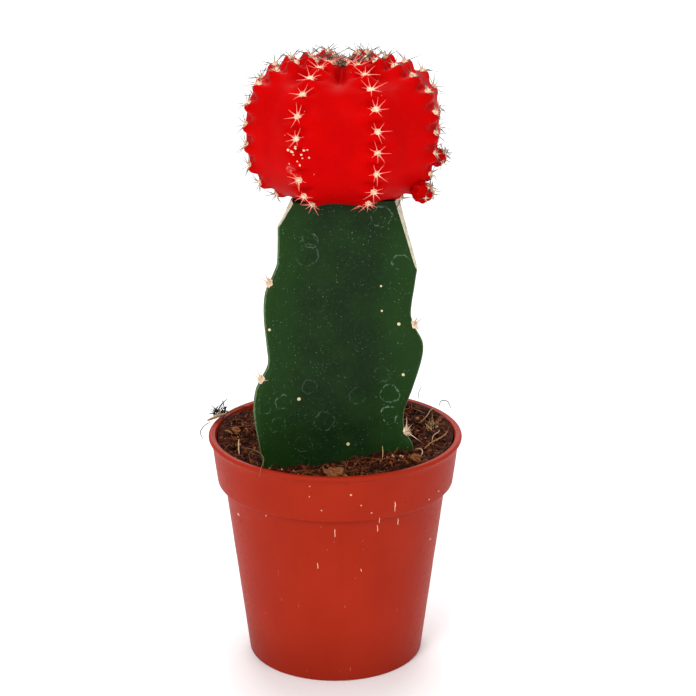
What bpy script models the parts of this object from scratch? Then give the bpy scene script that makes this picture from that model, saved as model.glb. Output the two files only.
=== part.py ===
"""Potted moon cactus: a red grafted globe on a three-angled green stem, in a small nursery pot.

Frame: +Z is up and the origin is on the surface that the pot stands on, under the pot's centre.
The front is the -Y side, where the stem shows the flat face between two of its ribs.
Every length below is in millimetres. Meshes are built in millimetres and scaled to metres by MM.
"""

import math
import random

import bmesh
import bpy
from mathutils import Matrix, Vector, noise

MM = 0.001
GAP = 0.3  # clearance between pieces that touch

# Pot, an injection-moulded nursery pot
POT_TOP_R = 27.5
POT_HEIGHT = 50.7
POT_FOOT_R = 19.2
POT_WALL = 0.9
LIP_DEPTH = 1.5  # the flared bead at the very top
BAND_TOP_R = 26.97  # collar under the lip
BAND_FOOT_R = 25.64
BAND_FOOT_Z = 40.0
BODY_TOP_R = 24.1  # below the shoulder that carries a nested pot
BODY_TOP_Z = 39.6
FOOT_LIFT = 1.2  # the floor of the pot stands this far above the table
FOOT_RING_WIDTH = 3.0
FLOOR_THICKNESS = 1.1
DRAIN_HOLE_R = 2.2
DRAIN_HOLES = 6
DRAIN_CIRCLE_R = 11.0
POT_STEPS = 72

# Soil
SOIL_Z = 48.2
SOIL_ROUGHNESS = 0.5
SOIL_RISE = 0.07  # the soil climbs this much per millimetre towards +X, and half as much towards the back
SOIL_MOUNDS = ((-25.0, 6.0, 3.4, 13.0), (-4.0, -13.0, -1.6, 10.5))  # x, y, height and reach: a heap and a dip
SOIL_STEPS = 40

# Stem, a dragon-fruit cutting with three ribs
STEM_AXIS = Vector((-0.9, 0.0, 0.0))
STEM_LEAN = 0.03  # sideways shift per millimetre of height, towards +X
STEM_TURN = math.radians(8)  # the left rib stands a little nearer the front
STEM_FOOT_Z = 20.0
STEM_STEP = 2.2  # height between cross-sections
GRAFT_Z = 104.0
FACE_DEPTH = 8.6  # from the stem's axis to the middle of a face
RIB_EDGE_R = 1.3
RIB_SHOULDER = 2.4  # where the thin rib edge widens into the face
# Rib reach from the axis at a few heights: a hump under each areole and a notch above it
LEFT_RIB = ((20, 12.5), (34, 15.2), (50.5, 18.9), (59.5, 20.7), (64.5, 20.2), (67, 18.6), (69.5, 17.2),
            (73.5, 17.6), (80.5, 18.5), (85.5, 18.2), (89, 16.3), (91.5, 15.3), (106, 15.6))
RIGHT_RIB = ((20, 12.0), (36, 16.0), (44, 18.2), (50, 19.0), (53.3, 17.0), (57.5, 16.7), (63, 18.4),
             (70, 20.2), (73.5, 20.2), (77, 18.1), (79.5, 17.3), (86, 17.9), (91, 18.4), (106, 18.4))
BACK_RIB = ((20, 12.2), (38, 17.0), (50, 19.2), (60, 20.2), (64.5, 19.6), (67.5, 17.9), (71, 17.6),
            (80, 19.2), (84.5, 18.9), (87.5, 17.2), (91, 16.8), (106, 17.4))
RIBS = (("left", LEFT_RIB, math.radians(210)), ("right", RIGHT_RIB, math.radians(330)),
        ("back", BACK_RIB, math.radians(90)))
# Each rib is trimmed to a slant below the graft: the way the cut faces in degrees from +X, how far it is
# from the axis at the graft, and how far and how high it is where it starts
RIB_TRIMS = {"left": (188, 10.3, 13.0, 99.8), "right": (347, 13.0, 17.3, 90.2),
             "back": (98, 12.5, 17.3, 92.5)}
STEM_AREOLES = {"left": (66.6, 87.4), "right": (53.0, 77.2), "back": (66.0, 86.4)}

# Scion, the red globe
SCION_AXIS = Vector((1.8, 0.0, 0.0))
SCION_MID_Z = 118.4
SCION_R = 20.6
SCION_TOP = 13.8  # from its middle up to its shoulders
SCION_BOTTOM = 15.2
SCION_SQUARENESS = 2.85  # 2 is an ellipse, more is boxier
CROWN_DIP = 1.4
CROWN_DIP_R = 4.0
SCION_RIBS = 8
FIRST_RIB = math.radians(-26)  # measured from the front, towards +X
GROOVE_DEPTH = 1.5
AREOLE_PITCH = 4.1  # along a rib
AREOLES_PER_RIB = 12
FIRST_AREOLE_S = 6.2  # path length from the crown's centre
TUBERCLE_HEIGHT = 1.4
CREST_WIDTH = 0.36  # share of half a rib that its tubercles take
TUBERCLE_PHASES = (0.0, 0.3, 0.62, 0.86)  # notch, areole, chin and undercut of one tubercle
RIB_COLUMNS = (-0.6, -0.28, 0.0, 0.28, 0.6, 1.0)  # 0 is a rib's crest and 1 the groove beside it

OFFSETS = (  # young shoots: azimuth from the front, distance from the scion's axis, height, radius
    ("upper", 76.0, 19.9, 112.8, 1.9),
    ("lower", 59.0, 18.9, 106.6, 2.2),
)

rng = random.Random(4)


def clear_scene():
    for obj in list(bpy.data.objects):
        bpy.data.objects.remove(obj)


def make_material(name, colour, roughness):
    material = bpy.data.materials.new(name)
    material.use_nodes = True
    shader = material.node_tree.nodes["Principled BSDF"]
    shader.inputs["Base Color"].default_value = (*colour, 1.0)
    shader.inputs["Roughness"].default_value = roughness
    shader.inputs["Metallic"].default_value = 0.0
    return material


def add_mesh(name, bm, material):
    """Turns a bmesh in millimetres into a named, smooth-shaded object in metres."""
    bmesh.ops.recalc_face_normals(bm, faces=bm.faces)
    bmesh.ops.scale(bm, vec=Vector((MM, MM, MM)), verts=bm.verts)
    mesh = bpy.data.meshes.new(name)
    bm.to_mesh(mesh)
    bm.free()
    mesh.shade_smooth()
    mesh.set_sharp_from_angle(angle=math.radians(35))
    obj = bpy.data.objects.new(name, mesh)
    bpy.context.scene.collection.objects.link(obj)
    if material:
        mesh.materials.append(material)
    return obj


def make_helper(name, bm):
    """A shape that only takes part in a Boolean and isn't a piece of its own."""
    helper = add_mesh(name, bm, None)
    helper.hide_render = True
    helper.display_type = "WIRE"
    return helper


def combine(obj, helper, operation):
    modifier = obj.modifiers.new(helper.name, "BOOLEAN")
    modifier.operation = operation
    modifier.object = helper


def skin(rings):
    """A closed mesh through rings of points. The first and the last ring are single points."""
    bm = bmesh.new()
    rows = [[bm.verts.new(point) for point in ring] for ring in rings]
    for upper, lower in zip(rows, rows[1:]):
        count = max(len(upper), len(lower))
        for i in range(count):
            j = (i + 1) % count
            corners = []
            for vert in (upper[i % len(upper)], upper[j % len(upper)],
                         lower[j % len(lower)], lower[i % len(lower)]):
                if vert not in corners:
                    corners.append(vert)
            bm.faces.new(corners)
    return bm


def turned(profile, steps):
    """Rings of a turned shape whose profile starts and ends on the axis."""
    rings = []
    for radius, height in profile:
        count = steps if radius > 0 else 1
        rings.append([Vector((radius * math.cos(math.tau * i / count),
                              radius * math.sin(math.tau * i / count), height)) for i in range(count)])
    return rings


def curve_through(points, x):
    """The value at x of a smooth curve through (x, value) points."""
    last = len(points) - 1
    k = max(i for i in range(last) if i == 0 or points[i][0] <= x)

    def slope(i):
        before, after = points[max(i - 1, 0)], points[min(i + 1, last)]
        return (after[1] - before[1]) / (after[0] - before[0])

    (x0, y0), (x1, y1) = points[k], points[k + 1]
    span = x1 - x0
    t = min(max((x - x0) / span, 0.0), 1.0)
    return ((2 * t**3 - 3 * t**2 + 1) * y0 + (t**3 - 2 * t**2 + t) * span * slope(k)
            + (3 * t**2 - 2 * t**3) * y1 + (t**3 - t**2) * span * slope(k + 1))


# Pot

def pot_wall_r(z):
    """Outer radius of the pot's wall below its lip."""
    profile = ((0, POT_FOOT_R), (BODY_TOP_Z, BODY_TOP_R), (BAND_FOOT_Z, BAND_FOOT_R),
               (POT_HEIGHT, BAND_TOP_R))
    for (z0, r0), (z1, r1) in zip(profile, profile[1:]):
        if z <= z1:
            return r0 + (r1 - r0) * (z - z0) / (z1 - z0)
    return BAND_TOP_R


def pot_inner_r(z):
    """Inner radius. The shoulder inside is a wall's thickness higher, so that it keeps its strength."""
    return pot_wall_r(z - POT_WALL) - POT_WALL


def build_pot(material):
    floor_z = FOOT_LIFT + FLOOR_THICKNESS
    ring_r = POT_FOOT_R - FOOT_RING_WIDTH
    inside = [(0, floor_z), (pot_inner_r(floor_z) - 1.0, floor_z), (pot_inner_r(floor_z), floor_z + 1.0)]
    inside += [(pot_inner_r(z + POT_WALL), z + POT_WALL) for z in (BODY_TOP_Z, BAND_FOOT_Z)]
    lip = [(pot_inner_r(POT_HEIGHT - 1.2), POT_HEIGHT - 1.2), (POT_TOP_R - 1.25, POT_HEIGHT - 0.35),
           (POT_TOP_R - 0.95, POT_HEIGHT), (POT_TOP_R - 0.45, POT_HEIGHT - 0.05),
           (POT_TOP_R - 0.1, POT_HEIGHT - 0.4), (POT_TOP_R, POT_HEIGHT - 0.85),
           (POT_TOP_R - 0.15, POT_HEIGHT - 1.25),
           (pot_wall_r(POT_HEIGHT - LIP_DEPTH), POT_HEIGHT - LIP_DEPTH)]
    outside = [(BAND_FOOT_R + 0.05, BAND_FOOT_Z + 0.4), (BAND_FOOT_R - 0.3, BAND_FOOT_Z - 0.05),
               (BODY_TOP_R + 0.15, BODY_TOP_Z + 0.1), (BODY_TOP_R - 0.05, BODY_TOP_Z - 0.4),
               (POT_FOOT_R + 0.05, 0.4), (POT_FOOT_R - 0.1, 0.1), (POT_FOOT_R - 0.4, 0)]
    underside = [(ring_r, 0), (ring_r - 0.3, FOOT_LIFT), (0, FOOT_LIFT)]
    pot = add_mesh("pot", skin(turned(inside + lip + outside + underside, POT_STEPS)), material)
    combine(pot, make_helper("drain_cutter", drain_shapes()), "DIFFERENCE")


def drain_shapes():
    """Drain holes through the pot's floor."""
    bm = bmesh.new()
    depth = FOOT_LIFT + FLOOR_THICKNESS + 2.0
    centres = [Vector((0, 0, depth / 2))]
    for i in range(DRAIN_HOLES):
        turn = math.tau * (i + 0.5) / DRAIN_HOLES
        centres.append(Vector((DRAIN_CIRCLE_R * math.cos(turn), DRAIN_CIRCLE_R * math.sin(turn), depth / 2)))
    for centre in centres:
        bmesh.ops.create_cone(bm, cap_ends=True, segments=16, radius1=DRAIN_HOLE_R, radius2=DRAIN_HOLE_R,
                              depth=depth, matrix=Matrix.Translation(centre))
    return bm


# Soil

def soil_level(x, y):
    """The soil's broad shape: higher on the right, heaped at the far left and sunk before the stem."""
    level = SOIL_Z + SOIL_RISE * (x + 0.5 * y)
    for centre_x, centre_y, height, reach in SOIL_MOUNDS:
        level += height * math.exp(-((x - centre_x) ** 2 + (y - centre_y) ** 2) / reach**2)
    return level


def soil_height(x, y):
    return soil_level(x, y) + noise.noise(Vector((x / 3.6, y / 3.6, 0.3))) * SOIL_ROUGHNESS


def build_soil(material):
    floor_z = FOOT_LIFT + FLOOR_THICKNESS + GAP
    low_r = pot_inner_r(floor_z) - GAP
    wall = [(0, floor_z), (low_r - 1.2, floor_z), (low_r, floor_z + 1.2)]
    clearance = GAP + 0.05  # a little more, because the soil has fewer sides than the pot
    for z in (BODY_TOP_Z + POT_WALL, BAND_FOOT_Z + POT_WALL):
        wall.append((pot_inner_r(z) - clearance, z + clearance))
    rings = turned(wall, SOIL_STEPS)
    rim_r = pot_inner_r(SOIL_Z - 2.5) - clearance
    for radius in [rim_r * share for share in (1.0, 0.96, 0.86, 0.76, 0.64, 0.5, 0.35, 0.18)] + [0]:
        ring = turned([(radius, 0)], SOIL_STEPS)[0]
        rings.append([Vector((p.x, p.y, soil_height(p.x, p.y))) for p in ring])
    soil = add_mesh("potting_soil", skin(rings), material)
    socket = make_helper("stem_socket_cutter", stem_shape(GAP, trimmed=False, top=POT_HEIGHT + 5))
    combine(soil, socket, "DIFFERENCE")


# Stem

def rib_section(reach, grow):
    """Half a rib's outline in its own frame, from its edge to the middle of the face beside it.

    x runs out along the rib and y across it, towards the face."""
    reach += grow
    edge = RIB_EDGE_R + grow * 0.7
    face = Vector((math.cos(math.radians(60)), math.sin(math.radians(60)))) * (FACE_DEPTH + grow)
    shoulder = Vector((reach - RIB_SHOULDER, edge * 1.25))
    points = [Vector((reach, 0)), Vector((reach - 0.3 * edge, 0.7 * edge)), Vector((reach - edge, edge))]
    points.append(shoulder)
    for t in (0.3, 0.62):
        along = shoulder.lerp(face, t)
        hollow = math.sin(math.pi * t) * 0.9
        points.append(along - Vector((hollow * 0.5, hollow * 0.8)))
    points.append(face)
    return points


def stem_centre(z):
    return STEM_AXIS + Vector((STEM_LEAN * (z - POT_HEIGHT), 0, z))


def stem_ring(z, grow, share=1.0):
    """One cross-section of the stem. share shrinks it towards the axis at the rounded foot."""
    ring = []
    for _, outline, turn in RIBS:
        half = rib_section(curve_through(outline, z), grow)
        whole = [Vector((p.x, -p.y)) for p in reversed(half[1:])] + half[:-1]
        rotate = Matrix.Rotation(turn + STEM_TURN, 2)
        ring += [rotate @ (p * share) for p in whole]
    # the three ribs are listed left, right, back, which is already counter-clockwise
    centre = stem_centre(z)
    return [Vector((centre.x + p.x, centre.y + p.y, z)) for p in ring]


def stem_shape(grow=0.0, trimmed=True, top=GRAFT_Z):
    """The stem as a bmesh. grow makes it fatter, for the seats of the pieces around it."""
    foot = STEM_FOOT_Z - grow
    rings = [[stem_centre(foot)], stem_ring(foot, grow, 0.55), stem_ring(foot + 1.5, grow, 0.85)]
    first = foot + 4.0
    steps = round((top - first) / STEM_STEP)
    rings += [stem_ring(first + (top - first) * i / steps, grow) for i in range(steps + 1)]
    rings.append([stem_centre(top)])
    bm = skin(rings)
    if trimmed:
        for trim in RIB_TRIMS.values():
            trim_rib(bm, *trim)
    return bm


def trim_rib(bm, facing, top_reach, low_reach, low_z):
    """Slices a slanted flat off one rib, from low_reach at low_z in to top_reach at the graft."""
    turn = math.radians(facing)
    out = Vector((math.cos(turn), math.sin(turn), 0))
    slope = out * (low_reach - top_reach) - Vector((0, 0, GRAFT_Z - low_z))
    across = Vector((-out.y, out.x, 0))
    normal = across.cross(slope).normalized()
    if normal.dot(out) < 0:
        normal.negate()
    geometry = bm.verts[:] + bm.edges[:] + bm.faces[:]
    bmesh.ops.bisect_plane(bm, geom=geometry, plane_co=stem_centre(GRAFT_Z) + out * top_reach,
                           plane_no=normal, clear_outer=True)
    bmesh.ops.holes_fill(bm, edges=[e for e in bm.edges if e.is_boundary])


def build_stem(material):
    add_mesh("rootstock", stem_shape(), material)


def build_stem_areoles(material):
    """A felt cushion with a few short spines in each of the ribs' notches, shaped to sit on the stem."""
    seat = make_helper("areole_seat_cutter", stem_shape(GAP, trimmed=False, top=GRAFT_Z))
    for side, outline, turn in RIBS:
        out = Vector((math.cos(turn + STEM_TURN), math.sin(turn + STEM_TURN), 0))
        for level, z in zip(("lower", "upper"), STEM_AREOLES[side]):
            place = stem_centre(z) + out * (curve_through(outline, z) + 0.35)
            name = f"stem_areole_{side}_{level}"
            areole = add_areole(name, place, out + Vector((0, 0, 0.8)), 1.15, 4, 1.9, material)
            combine(areole, seat, "DIFFERENCE")


def add_areole(name, place, outward, radius, spines, length, material):
    """A small cushion whose outward faces are drawn out into spines."""
    bm = bmesh.new()
    bmesh.ops.create_icosphere(bm, subdivisions=1, radius=radius)
    outward = outward.normalized()
    facing = [f for f in bm.faces if 0.45 < f.normal.dot(outward) < 0.97]
    chosen = rng.sample(facing, min(spines, len(facing)))
    for face in bmesh.ops.extrude_discrete_faces(bm, faces=chosen)["faces"]:
        root = face.calc_center_median()
        for vert in face.verts:
            tip = root + face.normal * length * rng.uniform(0.8, 1.1)
            vert.co = tip + (vert.co - root) * 0.15
    bmesh.ops.translate(bm, verts=bm.verts, vec=place)
    return add_mesh(name, bm, material)


# Scion

def scion_profile():
    """Path down the globe's outline from the crown to the base, as (path length, radius, height)."""
    path = []
    length = 0.0
    samples = 240
    for i in range(samples + 1):
        angle = math.pi / 2 - math.pi * i / samples
        power = 2 / SCION_SQUARENESS
        radius = SCION_R * max(math.cos(angle), 0.0) ** power
        half = SCION_TOP if angle > 0 else SCION_BOTTOM
        height = SCION_MID_Z + half * math.copysign(abs(math.sin(angle)) ** power, angle)
        if angle > 0:
            height -= CROWN_DIP * math.exp(-((radius / CROWN_DIP_R) ** 2))
        height = max(height, GRAFT_Z + GAP)
        if path:
            length += math.hypot(radius - path[-1][1], height - path[-1][2])
        path.append((length, radius, height))
    return path


def on_profile(path, s):
    """Radius, height and the outward normal of the profile at path length s."""
    k = min(max(i for i, row in enumerate(path) if i == 0 or row[0] <= s), len(path) - 2)
    (s0, r0, z0), (s1, r1, z1) = path[k], path[k + 1]
    t = (s - s0) / (s1 - s0)
    normal = Vector((-(z1 - z0), r1 - r0)).normalized()
    return r0 + (r1 - r0) * t, z0 + (z1 - z0) * t, normal


def tubercle(phase):
    """Height of a rib's crest along one tubercle: a notch, a slope with the areole, then a chin."""
    rise = 0.62
    if phase < rise:
        return math.sin(math.pi / 2 * phase / rise)
    return math.cos(math.pi / 2 * (phase - rise) / (1 - rise))


def scion_point(path, s, azimuth, across, phase):
    """A point of the globe. across is 0 on a rib's crest and 1 in the groove beside it."""
    radius, height, normal = on_profile(path, s)
    depth = min(GROOVE_DEPTH, 0.28 * radius)
    crest = math.exp(-((across / CREST_WIDTH) ** 2))
    size = min(1.0, radius / 9.0)
    push = -depth * abs(across) ** 1.5 + TUBERCLE_HEIGHT * size * (tubercle(phase) - 0.45) * crest
    radius = max(radius + normal.x * push, 0.2)
    height = max(height + normal.y * push, GRAFT_Z + GAP)
    return SCION_AXIS + Vector((radius * math.sin(azimuth), -radius * math.cos(azimuth), height))


def build_scion(material):
    path = scion_profile()
    rows = [(FIRST_AREOLE_S * share, 0.0) for share in (0.25, 0.6)]
    for i in range(AREOLES_PER_RIB):
        rows += [(FIRST_AREOLE_S + (i + phase - 0.3) * AREOLE_PITCH, phase) for phase in TUBERCLE_PHASES]
    end = path[-1][0]
    rows.append(((rows[-1][0] + end) / 2, 0.0))
    half_rib = math.pi / SCION_RIBS
    rings = [[SCION_AXIS + Vector((0, 0, path[0][2]))]]
    for s, phase in rows:
        ring = []
        for rib in range(SCION_RIBS):
            crest = FIRST_RIB + rib * 2 * half_rib
            for across in RIB_COLUMNS:
                ring.append(scion_point(path, s, crest + across * half_rib, across, phase))
        rings.append(ring)
    rings.append([SCION_AXIS + Vector((0, 0, path[-1][2]))])
    scion = add_mesh("scion", skin(rings), material)
    grow_offsets(scion)


def grow_offsets(scion):
    """Joins small ribbed balls onto the globe's side."""
    ribs, levels, columns = 6, 8, 24
    for name, degrees, distance, height, radius in OFFSETS:
        azimuth = math.radians(degrees)
        centre = SCION_AXIS + Vector((distance * math.sin(azimuth), -distance * math.cos(azimuth), height))
        rings = [[Vector((0, 0, radius))]]
        for level in range(1, levels):
            polar = math.pi * level / levels
            height_here = radius * math.cos(polar)
            ring = []
            for i in range(columns):
                turn = math.tau * i / columns
                reach = radius * math.sin(polar) * (1 + 0.1 * math.cos(ribs * turn))
                ring.append(Vector((reach * math.cos(turn), reach * math.sin(turn), height_here)))
            rings.append(ring)
        rings.append([Vector((0, 0, -radius))])
        offset = make_helper("offset_" + name, skin(rings))
        offset.location = centre * MM
        tilt = math.radians(55)  # its tip leans outwards
        offset.rotation_euler = (tilt * math.cos(azimuth), tilt * math.sin(azimuth), 0)
        combine(scion, offset, "UNION")


def build_crown_tuft(material):
    """The withered remains of flowers in the crown's hollow."""
    crown_z = on_profile(scion_profile(), 1.0)[1]
    add_areole("crown_tuft", SCION_AXIS + Vector((0.2, -0.6, crown_z + 1.9)), Vector((0, 0, 1)),
               1.1, 6, 2.4, material)


# Loose pieces on the soil

def add_chip(name, place, size, material):
    """An angular scrap of bark, the hull of a few scattered points."""
    bm = bmesh.new()
    for _ in range(14):
        direction = Vector((rng.gauss(0, 1), rng.gauss(0, 1), rng.gauss(0, 1))).normalized()
        bm.verts.new(place + direction * Vector(size) * 0.5)
    bmesh.ops.convex_hull(bm, input=bm.verts)
    add_mesh(name, bm, material)


def add_fibre(name, points, thickness, material):
    """A root or coir fibre, as a round tube on a smooth line through its points."""
    curve = bpy.data.curves.new(name, "CURVE")
    curve.dimensions = "3D"
    curve.bevel_depth = thickness / 2 * MM
    curve.bevel_resolution = 1
    curve.resolution_u = 3
    curve.use_fill_caps = True
    spline = curve.splines.new("NURBS")
    spline.points.add(len(points) - 1)
    for target, point in zip(spline.points, points):
        target.co = (*(Vector(point) * MM), 1.0)
    spline.order_u = 4
    spline.use_endpoint_u = True
    curve.materials.append(material)
    obj = bpy.data.objects.new(name, curve)
    bpy.context.scene.collection.objects.link(obj)


def on_soil(x, y, lift):
    """A point above the soil. It stays clear of the lumps within a scrap's own reach."""
    return Vector((x, y, soil_level(x, y) + SOIL_ROUGHNESS + lift))


def build_debris(bark, fibre):
    """Scraps of bark, root and coir that lie on the soil, and a twig caught on the pot's lip."""
    add_chip("bark_chip_front", on_soil(0.4, -17.6, 0.7), (5.4, 3.6, 2.6), bark)
    add_chip("bark_chip_left", on_soil(-21.6, 1.6, 0.7), (3.2, 2.4, 1.8), bark)
    add_chip("bark_chip_right", on_soil(17.2, -13.6, 0.7), (2.8, 2.2, 2.2), bark)
    add_chip("bark_chip_back", on_soil(-8.0, 19.6, 0.7), (4.2, 3.0, 2.0), bark)
    right = ((19.2, -8.6, 0.2), (20.6, -6.6, 0.6), (22.6, -4.4, 0.6), (23.8, -2.4, 0.5), (24.4, -0.6, 0.4))
    add_fibre("root_fibre_right", [on_soil(*point) for point in right], 0.45, fibre)
    left = ((-20.6, -7.4, 0.2), (-20.8, -5.6, 0.6), (-20.9, -3.8, 0.6), (-20.9, -2.0, 0.3))
    add_fibre("coir_fibre_left", [on_soil(*point) for point in left], 0.45, fibre)
    rim = POT_HEIGHT + GAP
    twig = ((-19.0, 13.2, rim + 0.9), (-21.6, 11.6, rim + 1.2), (-23.6, 9.8, rim + 0.7),
            (-25.4, 8.6, rim + 0.7), (-26.3, 7.4, rim + 0.5), (-26.4, 6.2, rim + 0.4))
    add_fibre("twig_on_rim", twig, 0.55, bark)


def main():
    clear_scene()
    terracotta = make_material("terracotta_plastic", (0.47, 0.065, 0.028), 0.45)
    peat = make_material("peat", (0.07, 0.032, 0.02), 0.95)
    green = make_material("stem_skin", (0.022, 0.075, 0.02), 0.5)
    red = make_material("scion_skin", (0.68, 0.004, 0.006), 0.45)
    felt = make_material("areole_felt", (0.78, 0.6, 0.4), 0.9)
    bark = make_material("bark", (0.22, 0.1, 0.045), 0.9)
    fibre = make_material("root_fibre", (0.55, 0.36, 0.2), 0.8)
    build_pot(terracotta)
    build_soil(peat)
    build_stem(green)
    build_stem_areoles(felt)
    build_scion(red)
    build_crown_tuft(bark)
    build_debris(bark, fibre)


main()
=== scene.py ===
"""Potted moon cactus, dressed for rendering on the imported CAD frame.

Lengths in the shape code are millimetres, and every mesh is scaled to metres as it is made.
The front is the -Y side, the origin is under the pot's centre and +Z is up.
"""

import math

import bmesh
import bpy
import numpy as np
from mathutils import Matrix, Vector, noise


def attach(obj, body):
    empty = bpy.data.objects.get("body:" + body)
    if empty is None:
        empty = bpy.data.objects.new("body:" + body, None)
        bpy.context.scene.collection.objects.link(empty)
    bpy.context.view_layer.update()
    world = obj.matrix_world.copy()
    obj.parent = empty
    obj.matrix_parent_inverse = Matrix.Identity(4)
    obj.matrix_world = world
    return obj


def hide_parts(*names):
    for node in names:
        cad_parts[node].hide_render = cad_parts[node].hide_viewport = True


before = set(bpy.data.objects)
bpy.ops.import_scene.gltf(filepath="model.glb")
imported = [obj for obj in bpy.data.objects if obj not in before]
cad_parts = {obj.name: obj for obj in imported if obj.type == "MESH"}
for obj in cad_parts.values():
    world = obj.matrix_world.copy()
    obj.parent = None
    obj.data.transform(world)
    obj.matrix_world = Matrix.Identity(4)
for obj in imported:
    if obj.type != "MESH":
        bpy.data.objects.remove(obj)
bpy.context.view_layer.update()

rng = np.random.default_rng(11)

MM = 0.001

# Pot
POT_TOP_R = 27.5
POT_HEIGHT = 50.7
POT_FOOT_R = 19.2
POT_WALL = 0.9
POT_STEPS = 224  # points round the pot
LIP_R = 0.58  # of the rounded bead at the top
BAND_TOP_R = 26.97
BAND_FOOT_R = 25.64
BAND_FOOT_Z = 40.0
BODY_TOP_R = 24.1
BODY_TOP_Z = 39.6
FOOT_LIFT = 1.2
FLOOR_THICKNESS = 1.1
FOOT_RING_R = 16.2
DRAIN_HOLE_R = 2.2
DRAIN_CIRCLE_R = 11.0
DRAIN_HOLES = 6
# Short upright scratches on the front: (x, height, half length)
SCRATCHES = ((0.1, 36.8, 1.1), (12.6, 42.4, 1.4), (13.3, 37.8, 0.9), (9.4, 39.4, 1.1), (9.0, 37.2, 0.9),
             (-3.5, 28.8, 0.8), (5.6, 27.5, 0.4))
# Pale flecks and dark ones: (x, height, radius)
PALE_FLECKS = ((-5.1, 48.3, 0.16), (-5.2, 45.9, 0.16), (-2.7, 42.8, 0.2), (-20.8, 35.8, 0.34),
               (-14.5, 38.8, 0.2), (3.4, 46.4, 0.28), (5.5, 43.8, 0.2), (7.7, 41.8, 0.2),
               (22.1, 42.2, 0.2), (20.0, 41.4, 0.2), (20.6, 29.5, 0.24))
DARK_FLECKS = ((-20.1, 34.9, 0.26), (14.9, 42.8, 0.2), (2.6, 48.9, 0.18))

# Soil
SOIL_Z = 48.2
SOIL_ROUGHNESS = 0.5
SOIL_RISE = 0.07
SOIL_MOUNDS = ((-25.0, 6.0, 3.4, 13.0), (-4.0, -13.0, -1.6, 10.5))  # x, y, height and reach
SOIL_CLEARANCE = 0.15  # between the soil and the pot's wall
SOIL_STEPS = 288  # points round the soil

# Stem
STEM_FOOT_Z = 20.0
GRAFT_Z = 104.0
FACE_DEPTH = 8.6
RIB_EDGE_R = 1.15
RIB_CORNER = math.radians(82)  # how far each side of a rib's edge is round
FACE_STEPS = 17  # points over half a face
LEFT_RIB = ((20, 12.5), (34, 15.2), (50.5, 18.9), (59.5, 20.7), (64.5, 20.2), (67, 18.6), (69.5, 17.2),
            (73.5, 17.6), (80.5, 18.5), (85.5, 18.2), (89, 16.3), (91.5, 15.3), (106, 15.6))
RIGHT_RIB = ((20, 12.0), (36, 16.0), (44, 18.2), (50, 19.0), (53.3, 17.0), (57.5, 16.7), (63, 18.4),
             (70, 20.2), (73.5, 20.2), (77, 18.1), (79.5, 17.3), (86, 17.9), (91, 18.4), (106, 18.4))
BACK_RIB = ((20, 12.2), (38, 17.0), (50, 19.2), (60, 20.2), (64.5, 19.6), (67.5, 17.9), (71, 17.6),
            (80, 19.2), (84.5, 18.9), (87.5, 17.2), (91, 16.8), (106, 17.4))
RIBS = {"left": (LEFT_RIB, math.radians(218)), "right": (RIGHT_RIB, math.radians(338)),
        "back": (BACK_RIB, math.radians(98))}
# The way each cut faces in degrees from +X, its reach at the graft, and its reach and height where it starts
RIB_TRIMS = {"left": (188, 10.3, 13.0, 99.8), "right": (347, 13.0, 17.3, 90.2),
             "back": (98, 12.5, 17.3, 92.5)}
STEM_AREOLES = {"left": (66.6, 87.4), "right": (53.0, 77.2), "back": (66.0, 86.4)}
# Cream dots on the front face: (x, height, radius)
STEM_DOTS = ((-13.6, 77.6, 0.34), (9.7, 85.7, 0.26), (9.9, 80.2, 0.26), (14.5, 66.3, 0.38),
             (-7.6, 61.6, 0.42), (2.8, 50.8, 0.42), (13.5, 77.4, 0.4))
# Traces of dried drops on the front face: (x, height, radius, strength)
STEM_RINGS = ((11.7, 57.0, 1.8, 1.0), (11.7, 61.8, 2.0, 0.6), (-2.3, 56.3, 2.1, 0.3),
              (-6.6, 51.3, 1.7, 0.25), (-10.8, 61.3, 1.6, 0.4), (-5.7, 92.9, 2.4, 0.25),
              (9.8, 100.6, 2.2, 0.45), (13.8, 91.0, 1.7, 0.45), (-5.4, 64.2, 1.4, 0.2),
              (10.0, 66.2, 1.6, 0.2), (-14.6, 60.6, 1.3, 0.35), (-12.0, 56.2, 1.6, 0.3),
              (-5.1, 95.9, 1.5, 0.35), (4.9, 61.5, 1.8, 0.15))

# Scion
SCION_X = 1.8
SCION_MID_Z = 118.4
SCION_R = 20.6
SCION_TOP = 13.8
SCION_BOTTOM = 15.2
SCION_SQUARENESS = 2.85
CROWN_DIP = 1.4
CROWN_DIP_R = 4.0
SCION_RIBS = 8
FIRST_RIB = math.radians(-26)
AREOLE_PITCH = 4.25
AREOLES_PER_RIB = 11
FIRST_AREOLE_S = 4.6
RIB_STAGGER = (1.9, 0.4, 2.9, 0.6, 2.4, 0.9, 3.1, 1.5)
RIB_DARKNESS = (0.0, 0.0, 0.85, 1.0, 0.9, 0.9, 1.0, 0.95)  # how dark grey the spines of each rib are
LOST_AREOLE = (0, 6)  # rib and place of the one that left a scar
SCRAPES = ((-8.7, 113.0, 1.1), (-7.6, 111.6, 0.7))  # x, height and radius
AREOLE_PHASE = 0.36  # where on its tubercle an areole sits, from the notch above it
# Degrees, distance, height and radius of the young shoots
OFFSETS = {"upper": (76.0, 19.9, 112.8, 1.9), "lower": (59.0, 18.9, 106.6, 2.2)}
WARTS = 6  # round an offset
WART_PITCH = 0.62  # radians from one ring of warts to the next
OFFSET_ROWS = 45
OFFSET_STEPS = 72  # points round an offset


# Small geometry helpers

def smooth_step(value, low, high):
    t = np.clip((np.asarray(value, float) - low) / (high - low), 0, 1)
    return t * t * (3 - 2 * t)


def lump(x, y, z, size):
    """Smooth noise between -1 and 1 whose lumps are about size millimetres across."""
    return noise.noise(Vector((x / size, y / size, z / size)))


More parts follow.
